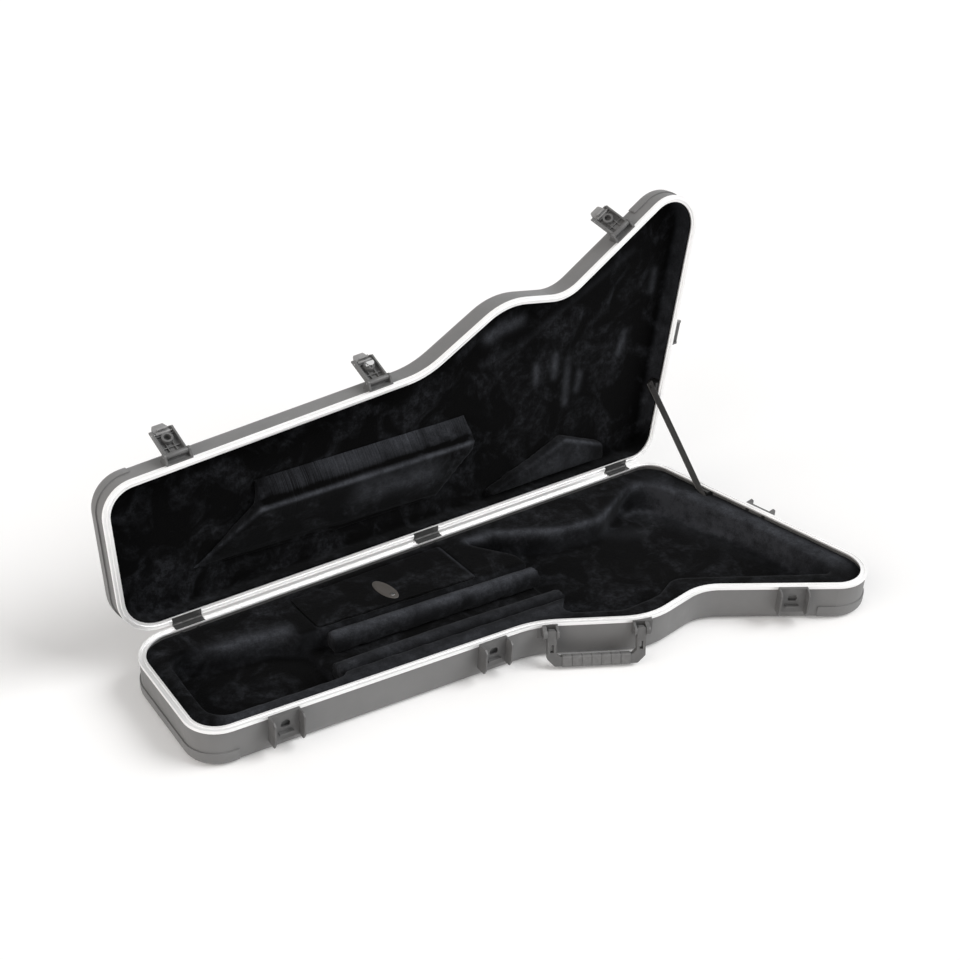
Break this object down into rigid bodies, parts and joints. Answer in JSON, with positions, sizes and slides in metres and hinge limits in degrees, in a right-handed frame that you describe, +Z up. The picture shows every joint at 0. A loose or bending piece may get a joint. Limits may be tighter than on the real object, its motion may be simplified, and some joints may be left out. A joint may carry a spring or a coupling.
{
  "type": "electric guitar case",
  "caption": "Moulded hard case for an angular electric guitar, hinged lid with draw latches, plush lining, neck cushions, accessory compartment and carrying handle.",
  "frame": {"origin": "on the underside of the base, below the hinge plane's middle part, 598 mm from the inner edge of the rim at the neck end and 262 mm in front of the hinge axis", "axes": "+X from the neck end to the tail, +Y from the handle side to the hinge side, +Z up, with the base lying flat and the lid open"},
  "size_m": [1.2223, 0.6381, 0.5976],
  "materials": {
    "shell": "fine moulded grain",
    "rim": "bright satin",
    "hinge": "black",
    "steel": "plain",
    "fitting": "satin moulded",
    "trigger": "satin moulded",
    "lock": "bright",
    "grip": "matte",
    "webbing": "woven",
    "plush": "short pile",
    "tab": "satin"
  },
  "bodies": {
    "base": {"base_shell": "shell", "base_rim": "rim", "hinge_leaf_base_neck": "hinge", "hinge_leaf_base_middle": "hinge", "hinge_leaf_base_body": "hinge", "hinge_pins": "steel", "base_rivets": "hinge", "keeper_neck": "fitting", "keeper_middle": "fitting", "keeper_body": "fitting", "keeper_tail": "fitting", "handle_bracket_left": "fitting", "handle_bracket_right": "fitting", "handle_pins": "steel", "strap_anchor_base": "fitting", "lid_stay_strap": "webbing", "base_padding": "plush", "neck_cushion_front": "plush", "neck_cushion_rear": "plush"},
    "lid": {"lid_shell": "shell", "lid_rim": "rim", "hinge_leaf_lid_neck": "hinge", "hinge_leaf_lid_middle": "hinge", "hinge_leaf_lid_body": "hinge", "lid_rivets": "hinge", "latch_bracket_neck": "fitting", "latch_bracket_middle": "fitting", "latch_bracket_body": "fitting", "latch_bracket_tail": "fitting", "latch_arm_pins": "steel", "strap_anchor_lid": "fitting", "lid_padding": "plush", "lid_neck_pad": "plush", "lid_body_pad": "plush"},
    "arm_neck": {"latch_arm_neck": "fitting", "trigger_pin_neck": "steel", "trigger_spring_neck": "steel"},
    "arm_middle": {"latch_arm_middle": "fitting", "trigger_pin_middle": "steel", "trigger_spring_middle": "steel"},
    "arm_body": {"latch_arm_body": "fitting", "trigger_pin_body": "steel", "trigger_spring_body": "steel"},
    "arm_tail": {"latch_arm_tail": "fitting", "trigger_pin_tail": "steel", "trigger_spring_tail": "steel"},
    "trigger_neck": {"latch_trigger_neck": "trigger"},
    "trigger_middle": {"latch_trigger_middle": "trigger"},
    "trigger_body": {"latch_trigger_body": "trigger"},
    "trigger_tail": {"latch_trigger_tail": "trigger"},
    "lock": {"lock_cylinder": "lock", "lock_cam": "lock"},
    "handle": {"handle_frame": "fitting", "handle_grip": "grip"},
    "compartment_lid": {"box_lid": "plush", "pull_tab": "tab", "tab_rivet": "steel"}
  },
  "joints": [
    {"name": "lid_hinge", "type": "hinge", "parent": "base", "child": "lid", "pos_m": [0, 0.262, 0.071], "axis": [-1, 0, 0], "range_deg": [-94.3, 0], "deforming": ["lid_stay_strap"]},
    {"name": "latch_arm_neck_hinge", "type": "hinge", "parent": "lid", "child": "arm_neck", "pos_m": [-0.47311, 0.29429, 0.36705], "axis": [-0.9974, -0.0054, -0.0722], "range_deg": [-152, 0]},
    {"name": "latch_arm_middle_hinge", "type": "hinge", "parent": "lid", "child": "arm_middle", "pos_m": [-0.0981, 0.29633, 0.39421], "axis": [-0.9974, -0.0054, -0.0722], "range_deg": [-152, 0]},
    {"name": "latch_arm_body_hinge", "type": "hinge", "parent": "lid", "child": "arm_body", "pos_m": [0.42882, 0.30836, 0.55421], "axis": [-0.8516, -0.0393, -0.5227], "range_deg": [-152, 0]},
    {"name": "latch_arm_tail_hinge", "type": "hinge", "parent": "lid", "child": "arm_tail", "pos_m": [0.58258, 0.29064, 0.31856], "axis": [0.1831, 0.0737, 0.9803], "range_deg": [-152, 0]},
    {"name": "trigger_neck_pull", "type": "hinge", "parent": "arm_neck", "child": "trigger_neck", "pos_m": [-0.47451, 0.33741, 0.3832], "axis": [-0.9974, -0.0054, -0.0722], "range_deg": [0, 18], "stiffness_Nm_per_rad": 0.3},
    {"name": "trigger_middle_pull", "type": "hinge", "parent": "arm_middle", "child": "trigger_middle", "pos_m": [-0.0995, 0.33945, 0.41036], "axis": [-0.9974, -0.0054, -0.0722], "range_deg": [0, 18], "stiffness_Nm_per_rad": 0.3},
    {"name": "trigger_body_pull", "type": "hinge", "parent": "arm_body", "child": "trigger_body", "pos_m": [0.41866, 0.35127, 0.56754], "axis": [-0.8516, -0.0393, -0.5227], "range_deg": [0, 18], "stiffness_Nm_per_rad": 0.3},
    {"name": "trigger_tail_pull", "type": "hinge", "parent": "arm_tail", "child": "trigger_tail", "pos_m": [0.60164, 0.33205, 0.31188], "axis": [0.1831, 0.0737, 0.9803], "range_deg": [0, 18], "stiffness_Nm_per_rad": 0.3},
    {"name": "lock_turn", "type": "hinge", "parent": "arm_middle", "child": "lock", "pos_m": [-0.09915, 0.32471, 0.40663], "axis": [-0.064, -0.4021, 0.9133], "range_deg": [0, 180]},
    {"name": "handle_swing", "type": "hinge", "parent": "base", "child": "handle", "pos_m": [0.07024, -0.11635, 0.059], "axis": [-0.8796, 0.4756, 0], "range_deg": [-15, 95]},
    {"name": "compartment_lid_hinge", "type": "hinge", "parent": "base", "child": "compartment_lid", "pos_m": [0, 0.2342, 0.062], "axis": [-1, 0, 0], "range_deg": [0, 100]}
  ]
}
